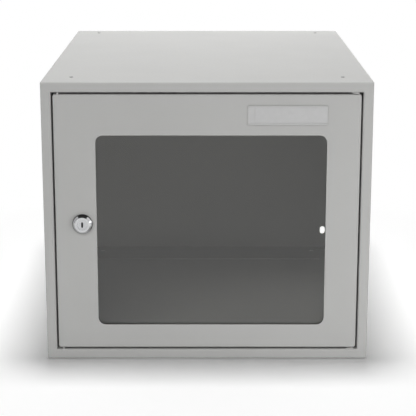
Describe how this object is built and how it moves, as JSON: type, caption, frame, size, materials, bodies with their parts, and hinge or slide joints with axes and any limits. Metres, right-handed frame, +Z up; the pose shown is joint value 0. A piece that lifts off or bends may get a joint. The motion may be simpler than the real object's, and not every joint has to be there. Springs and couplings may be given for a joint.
{
  "type": "cube locker",
  "caption": "Small steel cube locker with a hinged door that has a rounded clear window, a cam lock at its left edge and a blank label holder.",
  "frame": {"origin": "middle of the carcass's underside, where it rests", "axes": "+Z up, the door faces -Y, +X is to the right as one faces the door"},
  "size_m": [0.4, 0.5062, 0.35],
  "materials": {
    "powder_coat": "light grey powder coat, fine texture, satin",
    "zinc": "bright zinc plated steel",
    "chrome": "polished chrome",
    "satin_chrome": "satin chrome",
    "clear_sheet": "clear acrylic sheet",
    "black_rubber": "matt black rubber",
    "white_nylon": "natural nylon",
    "label_frame": "light grey moulded channel",
    "label_card": "blank pale grey card"
  },
  "bodies": {
    "carcass": {"body_wrap": "powder_coat", "back_panel": "powder_coat", "pivot_tab_top": "powder_coat", "pivot_tab_bottom": "powder_coat", "pivot_pin_top": "zinc", "pivot_pin_bottom": "zinc", "door_guide_top": "powder_coat", "door_guide_bottom": "powder_coat", "door_buffer_top": "black_rubber", "door_buffer_bottom": "black_rubber"},
    "door": {"door_skin": "powder_coat", "pivot_bush_top": "white_nylon", "pivot_bush_bottom": "white_nylon", "hinge_lug_top": "zinc", "hinge_lug_bottom": "zinc", "window_pane": "clear_sheet", "window_gasket": "black_rubber", "pane_strip_top": "zinc", "pane_strip_right": "zinc", "pane_strip_bottom": "zinc", "pane_strip_lower_left": "zinc", "pane_strip_upper_left": "zinc", "pane_stud_1": "zinc", "pane_stud_2": "zinc", "pane_stud_3": "zinc", "pane_stud_4": "zinc", "pane_stud_5": "zinc", "pane_stud_6": "zinc", "pane_stud_7": "zinc", "pane_stud_8": "zinc", "pane_stud_9": "zinc", "pane_stud_10": "zinc", "pane_nut_1": "zinc", "pane_nut_2": "zinc", "pane_nut_3": "zinc", "pane_nut_4": "zinc", "pane_nut_5": "zinc", "pane_nut_6": "zinc", "pane_nut_7": "zinc", "pane_nut_8": "zinc", "pane_nut_9": "zinc", "pane_nut_10": "zinc", "label_holder": "label_frame", "label_card": "label_card", "lock_housing": "chrome", "lock_washer": "zinc", "lock_nut": "zinc"},
    "lock": {"lock_plug": "satin_chrome", "lock_cam": "zinc", "cam_washer": "zinc", "cam_bolt": "zinc"}
  },
  "joints": [
    {"name": "door_swing", "type": "hinge", "parent": "carcass", "child": "door", "pos_m": [0.178, -0.244, 0.175], "axis": [0, 0, 1], "range_deg": [0, 105]},
    {"name": "lock_turn", "type": "hinge", "parent": "door", "child": "lock", "pos_m": [-0.1525, -0.25, 0.175], "axis": [0, 1, 0], "range_deg": [0, 90]}
  ]
}
